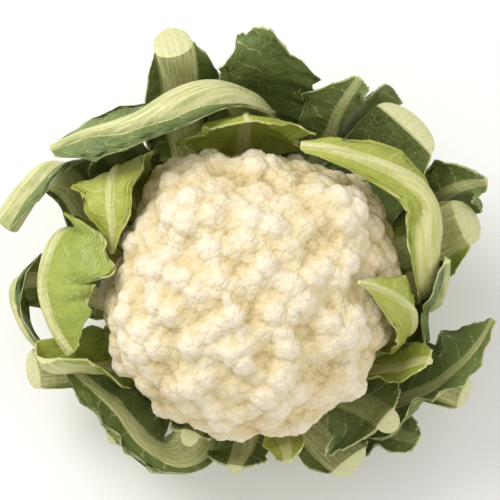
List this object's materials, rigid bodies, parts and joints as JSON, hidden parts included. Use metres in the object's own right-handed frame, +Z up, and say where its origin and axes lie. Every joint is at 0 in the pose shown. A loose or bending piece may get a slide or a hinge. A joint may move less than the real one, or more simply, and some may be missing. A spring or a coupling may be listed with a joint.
{
  "type": "cauliflower",
  "caption": "Whole cauliflower with a white domed curd of rounded florets, wrapped in cut green leaves with pale ribs, standing on its flat cut stalk.",
  "frame": {"origin": "centre of the stalk's flat cut face, on the surface the cauliflower stands on", "axes": "+Z up from the cut stalk through the head; -Y toward the side that is nearest the camera and lowest in the picture, +X to the picture's right"},
  "size_m": [0.2761, 0.2369, 0.1521],
  "materials": {
    "curd": "raw cauliflower curd, matt and grainy",
    "stalk": "pale green plant stem, smooth, cut face damp and matt",
    "leaf_inner": "young yellow-green leaf, smooth and slightly waxy",
    "leaf_middle": "fresh green leaf, smooth and slightly waxy",
    "leaf_outer": "dark green leaf with a bluish wax bloom"
  },
  "bodies": {
    "root": {"curd": "curd", "stalk": "stalk", "leaf_inner_back": "leaf_inner", "leaf_inner_left": "leaf_inner", "leaf_inner_tip": "leaf_inner", "leaf_inner_right": "leaf_inner", "leaf_fold_left": "leaf_middle", "leaf_curl_left": "leaf_middle", "leaf_square": "leaf_middle", "leaf_small_bottom": "leaf_middle", "leaf_ball_left": "leaf_outer", "leaf_front_band": "leaf_outer", "leaf_ball_right": "leaf_outer", "leaf_wavy_right": "leaf_outer", "leaf_channel": "leaf_outer", "leaf_back_right": "leaf_outer", "leaf_pale_right": "leaf_middle", "leaf_dark_curl": "leaf_outer", "leaf_cut_left": "leaf_outer", "leaf_sweep_left": "leaf_outer", "leaf_lower_left": "leaf_outer", "leaf_long_left": "leaf_outer", "leaf_big_back": "leaf_outer", "leaf_round_cut": "leaf_outer", "leaf_lobed_right": "leaf_outer", "leaf_spread_right": "leaf_outer", "leaf_stub_left": "leaf_outer", "leaf_stub_right": "leaf_outer", "leaf_stub_front": "leaf_outer", "leaf_dark_right": "leaf_outer", "leaf_dark_left": "leaf_outer"}
  },
  "joints": []
}
